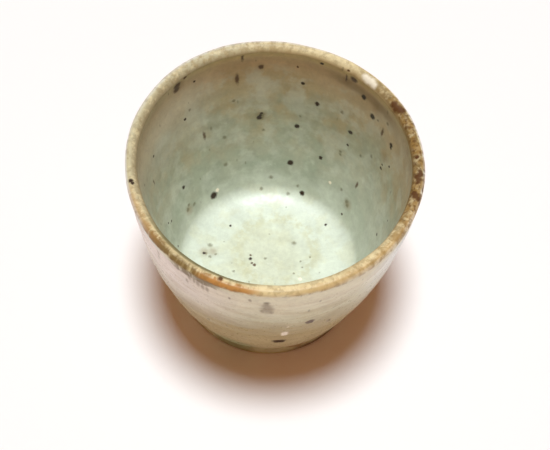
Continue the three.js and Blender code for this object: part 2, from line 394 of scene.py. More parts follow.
def outer_wall(sizes):
    """The outer wall, from the foot's waist up to the start of the lip."""
    waist = sizes.foot_diameter / 2 - sizes.foot_waist
    across = sizes.rim_diameter / 2 - waist
    up = lip_base(sizes) - sizes.foot_height
    return smooth_line([
        (waist + across * outward, sizes.foot_height + up * upward)
        for outward, upward in OUTER_WALL_SHARES
    ])


def inner_wall(sizes):
    """The inner wall and the floor, from the lip's inner edge down to the middle of the floor."""
    floor_top = sizes.foot_height + sizes.floor_thickness
    outer = outer_wall(sizes)
    wall = []
    for inward, upward in INNER_WALL_SHARES:
        height = floor_top + (lip_base(sizes) - floor_top) * upward
        outer_radius = np.interp(height, outer[:, HEIGHT], outer[:, RADIUS])
        wall.append((outer_radius - sizes.wall_thickness * inward, height))
    end_radius, end_height = wall[-1]
    floor = [(end_radius * out, floor_top + (end_height - floor_top) * up) for out, up in FLOOR_SHARES]
    lip_edge = (sizes.rim_diameter - sizes.lip_thickness) / 2 - sizes.lip_roll
    return smooth_line([(lip_edge, sizes.cup_height - sizes.lip_roll_drop), *wall, *floor])


def lip_round(sizes):
    """The rounding of the lip's outer edge up to the crest, and the softer roll down inside."""
    radius = sizes.lip_thickness / 2
    crest = sizes.rim_diameter / 2 - radius
    turn = np.linspace(0, math.pi / 2, LIP_STEPS + 1)
    edge = np.column_stack([crest + radius * np.cos(turn), lip_base(sizes) + radius * np.sin(turn)])
    fall = sizes.lip_roll_drop * (1 - np.cos(turn))
    roll = np.column_stack([crest - sizes.lip_roll * np.sin(turn), sizes.cup_height - fall])
    return edge[1:], roll[1:-1]


def with_ways_out(points, past_lip):
    """Makes an outline of a line that has the clay on the left of its way."""
    way = np.gradient(points, axis=0)
    way /= np.linalg.norm(way, axis=1)[:, None]
    return np.column_stack([points, past_lip, way[:, 1], -way[:, 0]])


def skin_outline(sizes):
    """The cup's finished surface, from the glaze's lower edge on the foot over the lip to the floor."""
    edge, roll = lip_round(sizes)
    foot_edge = np.array([(sizes.foot_diameter / 2, sizes.foot_margin)])
    foot_side = evenly(np.concatenate([foot_edge, outer_wall(sizes)[:1]]), SURFACE_STEP)
    outside = evenly(outer_wall(sizes), SURFACE_STEP)
    inside = evenly(inner_wall(sizes), SURFACE_STEP)
    points = np.concatenate([foot_side[:-1], outside, edge, roll, inside])
    crest = len(foot_side) - 1 + len(outside) + len(edge) - 1
    along = travelled(points)
    skin = with_ways_out(points, (along - along[crest]) / MM)
    skin[-1, [OUT_RADIUS, OUT_HEIGHT]] = (0, 1)
    return skin


def inset(outline, depth):
    """An outline moved into the clay, which stays on the axis where it ends there."""
    moved = outline.copy()
    moved[:, RADIUS] -= depth * outline[:, OUT_RADIUS]
    moved[:, HEIGHT] -= depth * outline[:, OUT_HEIGHT]
    moved[outline[:, RADIUS] == 0, RADIUS] = 0
    return moved


def cut(outline, start, end):
    """The stretch of an outline between two distances past the lip's crest, in millimetres."""
    inside = (outline[:, PAST_LIP] > start) & (outline[:, PAST_LIP] < end)
    ends = [[np.interp(at, outline[:, PAST_LIP], column) for column in outline.T] for at in (start, end)]
    return np.concatenate([ends[:1], outline[inside], ends[1:]])


def past_lip_at(outline, height, inside):
    """How far past the lip's crest an outline passes a height, outside or inside."""
    side = outline[(outline[:, PAST_LIP] > 0) == inside]
    side = side[np.argsort(side[:, HEIGHT])]
    return float(np.interp(height, side[:, HEIGHT], side[:, PAST_LIP]))


def round_end(back, front):
    """Half a turn from the end of a coat's back to the start of its front, for an edge that shows."""
    centre = (back[:2] + front[:2]) / 2
    arm = back[:2] - centre
    turns = np.linspace(0, math.pi, END_STEPS + 1)[1:-1]
    rows = []
    for turn in turns:
        x = arm[0] * math.cos(turn) - arm[1] * math.sin(turn)
        y = arm[0] * math.sin(turn) + arm[1] * math.cos(turn)
        rows.append([centre[0] + x, centre[1] + y, *front[PAST_LIP:]])
    return np.array(rows)


def coat(skin, sizes, start, end, back_step):
    """The face of a coat between two distances past the crest, and its back, which runs the other way."""
    back = cut(inset(skin, sizes.glaze_thickness), start, end)[::-1]
    return cut(skin, start, end), evenly(back, back_step)


def outer_glaze_outline(sizes):
    """The coat on the outer wall and the foot's side, with a rounded lower edge."""
    skin = skin_outline(sizes)
    end = past_lip_at(skin, lip_base(sizes) - sizes.outer_band, inside=False)
    front, back = coat(skin, sizes, skin[0, PAST_LIP], end, BACK_STEP)
    return np.concatenate([front, back, round_end(back[-1], front[0]), front[:1]])


def lip_glaze_outline(sizes):
    """The coat that wraps over the lip and a little way down both sides."""
    skin = skin_outline(sizes)
    start = past_lip_at(skin, lip_base(sizes) - sizes.outer_band, inside=False)
    end = past_lip_at(skin, lip_base(sizes) - sizes.inner_band, inside=True)
    front, back = coat(skin, sizes, start, end, LIP_STEP)
    front = evenly(front, LIP_STEP)
    return np.concatenate([front, back, front[:1]])


def inner_glaze_outline(sizes):
    """The coat on the inner wall and the floor."""
    skin = skin_outline(sizes)
    start = past_lip_at(skin, lip_base(sizes) - sizes.inner_band, inside=True)
    front, back = coat(skin, sizes, start, skin[-1, PAST_LIP], BACK_STEP)
    back[0, RADIUS] = 0
    return np.concatenate([back, front])


def clay_body_outline(sizes):
    """The thrown wall and floor under the glaze, with the turned recess that shows under the cup."""
    cover = sizes.glaze_thickness + sizes.clay_gap
    skin = skin_outline(sizes)
    face = inset(skin, cover)
    face = face[face[:, HEIGHT] > sizes.foot_height]
    face = evenly(face[np.argmax(face[:, PAST_LIP] > skin[0, PAST_LIP]):], SURFACE_STEP * 2)
    edge = np.array([0.0, sizes.foot_height, skin[0, PAST_LIP], 0, -1])
    side = edge.copy()
    side[RADIUS] = face[0, RADIUS]
    underside = evenly(np.array([edge, side]), SURFACE_STEP)
    face[-1, RADIUS] = 0
    return np.concatenate([underside, face])


def foot_ring_outline(sizes):
    """The ring of bare clay that meets the ground, with rounded lower edges."""
    cover = sizes.glaze_thickness + GLAZE_BOND
    outer = sizes.foot_diameter / 2 - cover
    inner = outer - sizes.foot_ring_width
    waist = outer - sizes.foot_waist
    bevel = sizes.foot_bevel
    turns = np.linspace(0, math.pi / 2, END_STEPS + 1)
    outer_round = [(outer - bevel + bevel * math.sin(t), bevel - bevel * math.cos(t)) for t in turns]
    inner_round = [(inner + bevel - bevel * math.cos(t), bevel - bevel * math.sin(t)) for t in turns]
    stretches = [
        evenly(np.array([inner_round[-1], outer_round[0]]), SURFACE_STEP),
        np.array(outer_round),
        evenly(np.array([outer_round[-1], (waist, sizes.foot_height)]), SURFACE_STEP),
        np.array([(inner, sizes.foot_height)]),
        evenly(np.array([(inner, sizes.foot_height), inner_round[0]]), SURFACE_STEP)[1:],
        np.array(inner_round),
    ]
    points = np.concatenate(stretches)
    apart = np.hypot(*np.diff(points, axis=0).T) > SAME_PLACE
    points = points[np.concatenate([[True], apart])]
    return with_ways_out(points, -travelled(points) / MM)


# The sockets of the wheel tree, by kind, with what they hold when nothing sets them.
WHEEL_SOCKETS = {
    "NodeSocketGeometry": {"Outline": None},
    "NodeSocketObject": {"Lumps": None},
    "NodeSocketMaterial": {"Material": None},
    "NodeSocketInt": {"Segments": 360, "Seed": 0},
    "NodeSocketVector": {"Lean": (0, 0, 0)},
    "NodeSocketFloat": {
        "Rim Radius": 0.04, "Foot Height": 0, "Foot Margin": 0, "Cup Height": 0.06, "Oval": 0,
        "Oval Angle": 0, "Corner": 0, "Corner Angle": 0, "Lip Wave": 0, "Lip High Angle": 0,
        "Lip Tilt": 0, "Wobble": 0, "Wobble Size": 0.02, "Ripple": 0, "Ripple Size": 0.005, "Rings": 0,
        "Ring Pitch": 0.005, "Ridges": 0, "Run Drop": 0, "Run Swell": 0,
    },
}
# The sockets that every piece fills from the cup's sizes and from the marks of the hand.
SIZE_SOCKETS = ("Foot Height", "Foot Margin", "Cup Height")
HAND_SOCKETS = (
    "Seed", "Oval", "Oval Angle", "Corner", "Corner Angle", "Lip Wave", "Lip High Angle", "Lip Tilt",
    "Wobble", "Wobble Size", "Ripple", "Ripple Size",
)
# Short turning ridges on the outer wall: (millimetres past the crest, angle of the middle and half the
# spread in degrees, half the ridge's width in millimetres).
RIDGES = ((-26, -118, 34, 1.7), (-16.5, -68, 20, 1.6), (-33, 40, 30, 2), (-21, 150, 36, 1.8))
# Runs of glaze at the foot: how many there are, how strong their even waves are, and how quickly the
# unevenness between them changes round the cup.
RUN_COUNT = 7
RUN_WAVE = 0.3
RUN_VARIETY = 5.2
# Where the hand's unevenness sets in above the ground, and where the rings do: away from the cup's axis,
# and past the lip's crest in millimetres.
GROUND_FADE = (0.4 * MM, 4 * MM)
POLE_FADE = (0.5 * MM, 5 * MM)
LIP_FADE = (4, 13)
SHARP_ANGLE = math.radians(40)
WELD = 0.002 * MM


def sampled(tree, points, index, attribute=None, data_type="FLOAT_VECTOR"):
    """What one of the points of a geometry carries: its place, or else the attribute of that name."""
    if attribute is None:
        value = add(tree, "GeometryNodeInputPosition")
    else:
        value = add(tree, "GeometryNodeInputNamedAttribute", attribute, data_type=data_type)
    return add(tree, "GeometryNodeSampleIndex", points, value, index, data_type=data_type)


def crests(tree, angle, start, count):
    """From 1 at the start angle to -1 and back, so many times round the cup."""
    turn = maths(tree, "SUBTRACT", angle, start)
    return maths(tree, "COSINE", product(tree, turn, count))


def in_the_round(tree, outward, radius, height):
    """The place that lies outward at a distance from the cup's axis, at a height."""
    across = vector(tree, "SCALE", outward, named={"Scale": radius})
    upward = add(tree, "ShaderNodeCombineXYZ", 0, 0, height)
    return vector(tree, "ADD", across, upward)


def wheel_tree():
    """Geometry Nodes that turn an outline about the cup's axis and add what hands and kiln leave."""
    tree = bpy.data.node_groups.new("Turned on the wheel", "GeometryNodeTree")
    for kind, sockets in WHEEL_SOCKETS.items():
        for name, default in sockets.items():
            socket = tree.interface.new_socket(name, in_out="INPUT", socket_type=kind)
            if default is not None:
                socket.default_value = default
    tree.interface.new_socket("Piece", in_out="OUTPUT", socket_type="NodeSocketGeometry")
    given = add(tree, "NodeGroupInput").node.outputs
    outline = given["Outline"]

    # A grid with a column of the outline's points for each step round the cup
    count = add(tree, "GeometryNodeAttributeDomainSize", outline)
    columns = maths(tree, "ADD", given["Segments"], 1)
    grid = add(tree, "GeometryNodeMeshGrid", named={"Vertices X": columns, "Vertices Y": count})
    index = add(tree, "GeometryNodeInputIndex")
    column = add(tree, "FunctionNodeIntegerMath", index, count, operation="DIVIDE_FLOOR")
    row = add(tree, "FunctionNodeIntegerMath", index, count, operation="MODULO")
    place = add(tree, "ShaderNodeSeparateXYZ", sampled(tree, outline, row)).node.outputs
    radius, height = place["X"], place["Z"]
    past_lip = sampled(tree, outline, row, "past_lip", "FLOAT")
    way_out = add(tree, "ShaderNodeSeparateXYZ", sampled(tree, outline, row, "way_out")).node.outputs

    # Where each point lies on the true round form
    angle = product(tree, maths(tree, "DIVIDE", column, given["Segments"]), math.tau)
    cosine = maths(tree, "COSINE", angle)
    sine = maths(tree, "SINE", angle)
    outward = add(tree, "ShaderNodeCombineXYZ", cosine, sine, 0)
    round_place = in_the_round(tree, outward, radius, height)
    rise = add(tree, RANGE, height, given["Foot Height"], given["Cup Height"], 0, 1)

    # The slow oval and the soft corners of the rim
    swing = 0
    for name, waves in (("Oval", 2), ("Corner", 3)):
        turn = crests(tree, angle, given[name + " Angle"], waves)
        swing = maths(tree, "MULTIPLY_ADD", turn, given[name], swing)
    swing = maths(tree, "DIVIDE", product(tree, swing, rise), given["Rim Radius"])
    spread = maths(tree, "MULTIPLY_ADD", swing, radius, radius)

    # The wavy, tilted lip
    turn = crests(tree, angle, given["Lip High Angle"], 2)
    turn = maths(tree, "SUBTRACT", turn, 1)
    wave = product(tree, turn, maths(tree, "DIVIDE", given["Lip Wave"], 2))
    wave = maths(tree, "MULTIPLY_ADD", sine, given["Lip Tilt"], wave)
    climb = maths(tree, "MULTIPLY_ADD", wave, rise, height)

    # Broad facets and small ripples, read in the round place so that every coat gets the same
    relief = 0
    for name in ("Wobble", "Ripple"):
        scale = maths(tree, "DIVIDE", 1, given[name + " Size"])
        noise = add(tree, NOISE, named={
            "Vector": round_place, "W": given["Seed"], "Scale": scale, "Detail": 1,
        }, noise_dimensions="4D")
        noise = maths(tree, "MULTIPLY_ADD", noise, 2, -1)
        relief = maths(tree, "MULTIPLY_ADD", noise, given[name], relief)

    # The spiral that the fingers or the turning tool leave, which fades out where a face looks up
    pitch = product(tree, given["Ring Pitch"], 1 / MM)
    turn = maths(tree, "DIVIDE", past_lip, pitch)
    turn = maths(tree, "MULTIPLY_ADD", turn, math.tau, angle)
    ring = maths(tree, "SINE", turn)
    distance = maths(tree, "ABSOLUTE", past_lip)
    off_lip = fade(tree, distance, *LIP_FADE)
    off_axis = fade(tree, radius, *POLE_FADE)
    facing_up = maths(tree, "MAXIMUM", way_out["Z"], 0)
    upright = maths(tree, "SUBTRACT", 1, facing_up, use_clamp=True)
    ring = product(tree, ring, off_lip, off_axis, upright)
    relief = maths(tree, "MULTIPLY_ADD", ring, given["Rings"], relief)

    # Short ridges where the turning tool stopped
    for middle, at_angle, spread_angle, half_width in RIDGES:
        turn = crests(tree, angle, math.radians(at_angle), 1)
        window = fade(tree, turn, math.cos(math.radians(spread_angle)), 1)
        off = maths(tree, "SUBTRACT", past_lip, middle)
        off = maths(tree, "DIVIDE", off, half_width)
        bump = product(tree, maths(tree, "EXPONENT", product(tree, off, off, -1)), window)
        relief = maths(tree, "MULTIPLY_ADD", bump, given["Ridges"], relief)

    # Lumps at chosen places
    lumps = add(tree, "GeometryNodeObjectInfo", given["Lumps"]).node.outputs["Geometry"]
    nearest = add(tree, "GeometryNodeSampleNearest", lumps, round_place)
    away = vector(tree, "DISTANCE", round_place, sampled(tree, lumps, nearest))
    lump_width = sampled(tree, lumps, nearest, "width", "FLOAT")
    lump_height = sampled(tree, lumps, nearest, "height", "FLOAT")
    lump = fade(tree, away, 0, lump_width, 1, 0)
    relief = maths(tree, "MULTIPLY_ADD", lump, lump_height, relief)

    # The glaze's lower edge, which hangs in runs and swells there
    wave = maths(tree, "SINE", product(tree, angle, RUN_COUNT))
    uneven = add(tree, NOISE, named={"Vector": outward, "Scale": RUN_VARIETY, "Detail": 2})
    run = maths(tree, "MULTIPLY_ADD", wave, RUN_WAVE, uneven)
    near_edge = add(tree, RANGE, height, given["Foot Height"], given["Foot Margin"], 0, 1)
    drop = product(tree, run, near_edge, given["Run Drop"])
    climb = maths(tree, "SUBTRACT", climb, drop)
    swell = product(tree, fade(tree, height, given["Foot Height"], 0), run)
    relief = maths(tree, "MULTIPLY_ADD", swell, given["Run Swell"], relief)

    # The ground and the land of the foot stay flat
    relief = product(tree, relief, fade(tree, height, *GROUND_FADE))
    spread = maths(tree, "MULTIPLY_ADD", relief, way_out["X"], spread)
    climb = maths(tree, "MULTIPLY_ADD", relief, way_out["Z"], climb)
    hand_place = in_the_round(tree, outward, spread, climb)
    lean = vector(tree, "SCALE", given["Lean"], named={"Scale": rise})
    hand_place = vector(tree, "ADD", hand_place, lean)

    piece = grid
    for name, value, data_type in (
            ("round_place", round_place, "FLOAT_VECTOR"), ("past_lip", past_lip, "FLOAT")):
        piece = add(tree, "GeometryNodeStoreNamedAttribute", piece, named={
            "Name": name, "Value": value,
        }, data_type=data_type, domain="POINT")
    piece = add(tree, "GeometryNodeSetPosition", piece, named={"Position": hand_place})
    piece = add(tree, "GeometryNodeMergeByDistance", piece, named={"Distance": WELD})
    piece = add(tree, "GeometryNodeSetShadeSmooth", piece, True, True, domain="FACE")
    bend = add(tree, "GeometryNodeInputMeshEdgeAngle")
    soft = add(tree, "FunctionNodeCompare", bend, SHARP_ANGLE, operation="LESS_THAN")
    piece = add(tree, "GeometryNodeSetShadeSmooth", piece, True, soft, domain="EDGE")
    piece = add(tree, "GeometryNodeRealizeInstances", piece)
    piece = add(tree, "GeometryNodeSetMaterial", piece, named={"Material": given["Material"]})
    add(tree, "NodeGroupOutput", piece)
    return tree


def mesh_of_points(name, places, edges, **attributes):
    """A mesh of loose points or a line, whose points carry attributes."""
    mesh = bpy.data.meshes.new(name)
    mesh.from_pydata([tuple(place) for place in places], edges, [])
    for key, values in attributes.items():
        values = np.array(values, np.float32)
        is_vector = values.ndim == 2
        attribute = mesh.attributes.new(key, "FLOAT_VECTOR" if is_vector else "FLOAT", "POINT")
        attribute.data.foreach_set("vector" if is_vector else "value", values.ravel())
    return mesh


def mark_place(skin, angle, past_lip):
    """The place of a mark on the true round form, from its angle in degrees and its way past the lip."""
    radius, height = (np.interp(past_lip, skin[:, PAST_LIP], skin[:, k]) for k in (RADIUS, HEIGHT))
    turn = math.radians(angle)
    return Vector((radius * math.cos(turn), radius * math.sin(turn), height))


def signed_volume(mesh):
    """The volume inside a closed mesh, which is below zero where its faces point inwards."""
    mesh.calc_loop_triangles()
    places = np.empty(len(mesh.vertices) * 3)
    mesh.vertices.foreach_get("co", places)
    corners = np.empty(len(mesh.loop_triangles) * 3, int)
    mesh.loop_triangles.foreach_get("vertices", corners)
    first, second, third = places.reshape(-1, 3)[corners.reshape(-1, 3)].transpose(1, 0, 2)
    return float((first * np.cross(second, third)).sum() / 6)


def put(name, data):
    """A new object in the scene."""
    thing = bpy.data.objects.new(name, data)
    bpy.context.scene.collection.objects.link(thing)
    return thing


def turn_piece(name, outline, material, lumps=(), **marks):
    """Turns an outline into a named piece that stands for the CAD node of the same name.

    Lumps are marks with a height in millimetres after their width. Marks are extra inputs of the tree.
    """
    cup = bpy.context.scene.soba_choko_cup
    sizes, hand = cup.sizes, cup.hand
    line = mesh_of_points(
        name + "_outline",
        [(row[RADIUS], 0, row[HEIGHT]) for row in outline],
        [(k, k + 1) for k in range(len(outline) - 1)],
        past_lip=outline[:, PAST_LIP],
        way_out=[(row[OUT_RADIUS], 0, row[OUT_HEIGHT]) for row in outline],
    )
    piece = put(name + "_dressed", line)
    skin = skin_outline(sizes)
    lump_mesh = mesh_of_points(
        name + "_lumps",
        [mark_place(skin, angle, past_lip) for angle, past_lip, _, _ in lumps] or [(0, 0, -1)],
        [],
        width=[width * MM / 2 for _, _, width, _ in lumps] or [MM],
        height=[height * MM for _, _, _, height in lumps] or [0],
    )
    lump_object = put(name + "_lumps", lump_mesh)

    tree = bpy.data.node_groups.get("Turned on the wheel") or wheel_tree()
    modifier = piece.modifiers.new("Wheel", "NODES")
    modifier.node_group = tree
    inputs = {
        "Lumps": lump_object,
        "Material": material,
        "Rim Radius": sizes.rim_diameter / 2,
        "Lean": (hand.lean_right, hand.lean_back, 0),
        **marks,
    }
    for group, names in ((sizes, SIZE_SOCKETS), (hand, HAND_SOCKETS)):
        for key in names:
            inputs[key] = getattr(group, key.lower().replace(" ", "_"))
    keys = {item.name: item.identifier for item in tree.interface.items_tree if item.in_out == "INPUT"}
    for key, value in inputs.items():
        modifier[keys[key]] = value

    graph = bpy.context.evaluated_depsgraph_get()
    mesh = bpy.data.meshes.new_from_object(
        piece.evaluated_get(graph), preserve_all_data_layers=True, depsgraph=graph)
    piece.modifiers.clear()
    piece.data = mesh
    mesh.name = name + "_dressed"
    bpy.data.meshes.remove(line)
    bpy.data.objects.remove(lump_object)
    bpy.data.meshes.remove(lump_mesh)
    if signed_volume(mesh) < 0:
        mesh.flip_normals()
    if signed_volume(mesh) <= 0:
        raise RuntimeError(f"{name} did not come out as a closed solid")
    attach(piece, "root")
    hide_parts(name)
    return piece


def new_material(name):
    """An empty material, with its tree, its shader and the shader's output."""
    material = bpy.data.materials.new(name)
    material.use_nodes = True
    tree = material.node_tree
    tree.nodes.clear()
    shader = add(tree, "ShaderNodeBsdfPrincipled")
    add(tree, "ShaderNodeOutputMaterial", shader)
    return material, tree, shader.node


def finish(tree, shader, shade, rough, bump):
    """Gives a shader its colour, its roughness and its relief."""
    for name, value in (("Base Color", shade), ("Roughness", rough), ("Normal", bump)):
        tree.links.new(value, shader.inputs[name])


def spots(tree, place, marks, softness, height_share):
    """How far each point is inside the marks, from 0 outside to 1 within. A mark is (place, width)."""
    squash = Vector((1, 1, height_share))
    place = vector(tree, "MULTIPLY", place, tuple(squash))
    least = None
    for centre, width in marks:
        away = vector(tree, "DISTANCE", place, tuple(centre / MM * squash))
        away = maths(tree, "DIVIDE", away, width / 2)
        least = away if least is None else maths(tree, "MINIMUM", least, away)
    return fade(tree, least, 1 + softness, 1 - softness)


def ramp(tree, past_lip, stops):
    """A colour that changes along the skin. A stop is (millimetres past the crest, colour)."""
    start, end = stops[0][0], stops[-1][0]
    share = add(tree, RANGE, past_lip, start, end, 0, 1)
    output = add(tree, "ShaderNodeValToRGB", share)
    elements = output.node.color_ramp.elements
    while len(elements) < len(stops):
        elements.new(0.5)
    for element, (at, shade) in zip(elements, stops):
        element.position = (at - start) / (end - start)
        element.color = (*shade, 1)
    return output


def side(tree, outward, angle, spread):
    """From 0 to 1 towards the middle of a stretch round the cup, given in degrees."""
    turn = math.radians(angle)
    near = vector(tree, "DOT_PRODUCT", outward, (math.cos(turn), math.sin(turn), 0))
    near = near.node.outputs["Value"]
    limits = math.cos(math.radians(spread)), math.cos(math.radians(spread / 3))
    return fade(tree, near, *limits)


def band(tree, past_lip, start, full, full_end, end):
    """From 0 at the start of a stretch along the skin to 1, and to 0 again at its end."""
    return product(tree, fade(tree, past_lip, start, full), fade(tree, past_lip, full_end, end, 1, 0))


# How high the noise stands where the patches are scarcest, and how far that falls as they spread.
SCARCE = 0.62
SPREAD_FALL = 0.24
PATCH_DETAIL = 3
PATCH_ROUGHNESS = 0.6


def patches(tree, place, size, share, edge):
    """Cloudy patches of about a size in millimetres. A greater share leaves less between them."""
    noise = add(tree, NOISE, place, 1 / size, PATCH_DETAIL, PATCH_ROUGHNESS)
    middle = SCARCE - SPREAD_FALL * share
    return fade(tree, noise, middle - edge, middle + edge)


def stain(tree, shade, tint, strength, *masks):
    """Tints a colour where all the masks meet."""
    return add(tree, MIX, product(tree, *masks, strength), shade, (*tint, 1), data_type="RGBA")


# The glaze's colours along the skin: (millimetres past the lip's crest, name of the colour). Outside, the
# stops darken below the belly, partly painted shade, and the foot's edge is lighter again, painted light
# on the shaded side of the foot. Inside, the lip's roll and the groove under it are lighter than the wall
# below, painted light against the shade under the lip.
SKIN_COLOURS = (
    (-64, "foot_edge"), (-61.5, "foot_edge"), (-60, "outer_low"), (-42, "outer_low"),
    (-26, "outer_mid"), (-19, "outer_belly"), (-9, "outer_high"), (-2.4, "outer_high"),
    (-1.5, "lip_outside"), (-0.5, "lip_outside"), (0.6, "lip_crest"), (1.6, "lip_crest"),
    (3.2, "lip_inside"), (7.5, "under_lip"), (12, "inner_high"), (24, "inner_mid"),
    (47.5, "inner_low"), (53, "milk"), (66, "floor"), (82, "floor"),
)

# A stain is (name of its colour, strength, stretch along the skin, part of the way round, patterns). A
# stretch is where it starts, where it is full, where it starts to fade and where it ends, in millimetres
# past the crest. A part is the angle of its middle and half its spread, in degrees. A pattern is the name
# of the place where its patches are read, their size in millimetres, their share and their softness.
ALL_ROUND = None
BEHIND_LIP = (5.5, 9, 13, 19)
ON_FLOOR = (50, 56, 82, 83)
HIGH_OUTSIDE = (-32, -13, -4, -2.8)
OVER_LIP = (-3, -2, 2, 4)
CREST = (-0.6, 0, 1.6, 2.6)
BELOW_LIP = (-5, -3, -1.3, -0.5)
OUTER_EDGE = (-2.1, -1.4, -0.2, 0.8)
HANGING = (-5, -4, -2, -1.4)
FLECKED = (-3, -2, 1.6, 3)
# The stretches whose edges sway with the glaze.
SWAYING = (OUTER_EDGE, HANGING)
STREAKS = ("strokes", 1.6, 1.1, 0.14)

CLOUDS = (
    # Inside: thin khaki clouds above, thick grey-green and white ones below, and pale stains that are
    # painted light in the shaded groove behind the lip
    ("khaki", 0.45, (4, 10, 26, 44), ALL_ROUND, ("place", 11, 0.4, 0.09)),
    ("grey_green", 0.55, (10, 24, 44, 52), ALL_ROUND, ("apart", 9, 0.5, 0.1)),
    ("milk", 0.5, (6, 12, 46, 54), ALL_ROUND, ("apart", 6, 0.35, 0.1)),
    # Painted light: cream on the far side, and milk and bare-slip colour on the left, lighten the shade
    # in the groove under the lip's roll and on the wall below it
    ("cream", 0.25, (2.6, 3.4, 4.6, 6), (95, 60)),
    ("milk", 0.55, (1.8, 3.2, 20, 34), (172, 62)),
    ("bare", 0.5, BEHIND_LIP, (158, 48)),
    ("bare", 0.18, BEHIND_LIP, (30, 60)),
    ("milk", 0.5, (3, 4.5, 8, 13), (5, 42)),
    ("milk", 0.35, (24, 36, 48, 53), (5, 60)),
    ("beige", 0.5, ON_FLOOR, ALL_ROUND, ("ring",), ("apart", 2.5, 0.5, 0.1)),
    ("beige", 0.28, ON_FLOOR, ALL_ROUND, ("place", 7, 0.35, 0.08)),
    ("beige", 0.3, (64, 74, 84, 85), ALL_ROUND),
    # Outside: a rosy flush on the left, a white bloom on the right that is partly a painted reflection of
    # the lit floor, olive clouds low down and a green pool at the foot
    ("pink", 0.7, HIGH_OUTSIDE, (-160, 68)),
    # Partly painted reflection: the whiter right flank stands for the lit floor mirrored there at a
    # grazing angle
    ("bloom", 0.95, HIGH_OUTSIDE, (-8, 48)),
    ("khaki", 0.4, (-62, -54, -30, -18), ALL_ROUND, ("place", 9, 0.4, 0.1)),
    ("pool", 0.8, (-66, -65, -56, -48), (-111, 17)),
    # Partly bare clay and partly painted shadow: a dark strip along the foot's lower edge on the right,
    # where the wall overhangs the foot
    ("rust", 0.7, (-66, -65, -64, -63.2), (-42, 40)),
    ("khaki", 0.3, (-56, -44, -9, -5), ALL_ROUND, ("turned", 3.5, 0.4, 0.09)),
)
LIP_STAINS = (
    # Pale on the far left, umber to the right and near left, burnt in front, and on the near crest cream
    # that is partly a painted highlight
    ("pale", 0.8, OVER_LIP, (155, 75)),
    # Partly painted highlight: cream along the crest of the near lip
    ("cream", 0.5, CREST, (-72, 62)),
    ("cream", 0.4, (-2.6, -2, 1.6, 2.4), (-88, 13)),
    ("cream", 0.3, CREST, (70, 20)),
    ("umber", 0.2, (0.2, 2.2, 2.6, 4), (165, 60)),
    ("umber", 0.3, (0, 1, 2, 3.2), (172, 50)),
    ("bloom", 0.45, (-4, -3, -0.4, 0.4), (112, 66)),
    ("umber", 0.95, (-0.8, 0, 2, 4), (6, 52)),
    ("bloom", 0.6, (-4, -3, -1, -0.3), (2, 50)),
    ("umber", 0.5, (5, 7, 8.2, 10), (47, 24)),
    ("lip_inside", 0.45, (2, 2.8, 4.2, 6), (44, 26)),
    ("outer_high", 0.9, BELOW_LIP, (-38, 34)),
    ("bloom", 0.6, BELOW_LIP, (-166, 42)),
    ("umber", 0.95, OUTER_EDGE, (-126, 26), STREAKS),
    ("burnt", 0.4, OUTER_EDGE, (-150, 18), STREAKS),
    ("burnt", 0.15, OUTER_EDGE, (-97, 24)),
    ("burnt", 0.95, OUTER_EDGE, (-105, 14)),
    ("burnt", 0.35, OUTER_EDGE, (-48, 42)),
    ("umber", 0.85, HANGING, (-118, 13), ("strokes", 1.3, 0.9, 0.12)),
    # Flecks: cream glints, which are painted highlights on the crest, olive, golden and rusty ones, and
    # the dark lines along the lip's edges, the inner one on the near side partly painted shade
    # Painted highlights: cream glints along the crest
    ("cream", 0.4, CREST, ALL_ROUND, ("apart", 1.6, 0.3, 0.1)),
    ("cream", 0.5, CREST, (-80, 105), ("strokes", 1.4, 0.3, 0.08)),
    ("umber", 0.3, FLECKED, ALL_ROUND, ("place", 1.6, 0.25, 0.08)),
    ("golden", 0.7, FLECKED, (-10, 66), ("upright", 2.4, 0.5, 0.1)),
    ("golden", 0.35, OVER_LIP, (112, 42), ("upright", 1.5, 0.35, 0.1)),
    ("rust", 0.65, FLECKED, (0, 40), ("apart", 1.4, 0.25, 0.06)),
    # Partly painted shade: the dark olive line where the near lip turns inwards
    ("dark_edge", 0.8, (0.5, 1.2, 2.6, 3.6), (-122, 34)),
    ("dark_edge", 0.8, (-2.4, -1.4, -1.1, -0.7), (90, 75), ("apart", 4, 0.5, 0.06)),
)

# Sizes of the glaze's finer patterns, in millimetres.
BROAD_SWAY = 9
FINE_SWAY = 2
CLOUD = 5
MOTTLE = 1.2
SPECK_CELL = 2.6
RAGGED = 0.8
PEEL = 1.3
# Where the clouds' and the mottling's noise starts and ends, and how dark and bright it makes the glaze.
CLOUD_TONES = (0.3, 0.7, 0.9, 1.07)
MOTTLE_TONES = (0.3, 0.7, 0.93, 1.05)
MOTTLE_ROUGHNESS = 0.65
ROUGHNESS_SWING = 0.05
# Between these two distances from the crest, the bands' sway grows from the third number to the fourth.
SWAY = (2, 14, 1.2, 12)
SWAY_FINELY = 1.6
# The thin ring on the floor, in millimetres: its middle, its radius, and how it fades to both sides.
RING_MIDDLE = (2, 5, 8)
RING_RADIUS = 11.5
RING_FADE = (0.6, 3)
# How a place is shifted or squeezed before a pattern is read there, so that patterns differ, stand
# upright, lie the wheel's way or run across the lip.
APART = (31, 17, 43)
UPRIGHT = (1, 1, 0.4)
TURNED = (0.3, 0.3, 1.5)
STROKES_ROUND = (40, 40, 40)
STROKES_ACROSS = 0.25
# Which chances give a speck, from the smallest to the largest in shares of its cell, and its soft edge.
SPECK_SIZES = (0.45, 1, 0.01, 0.17)
SPECK_EDGE = (0.5, 1.2)
SPECK_STRENGTH = 0.4
RAGGED_REACH = (0.7, 0.7, 0.7)
MIDDLE_GREY = (0.5, 0.5, 0.5)


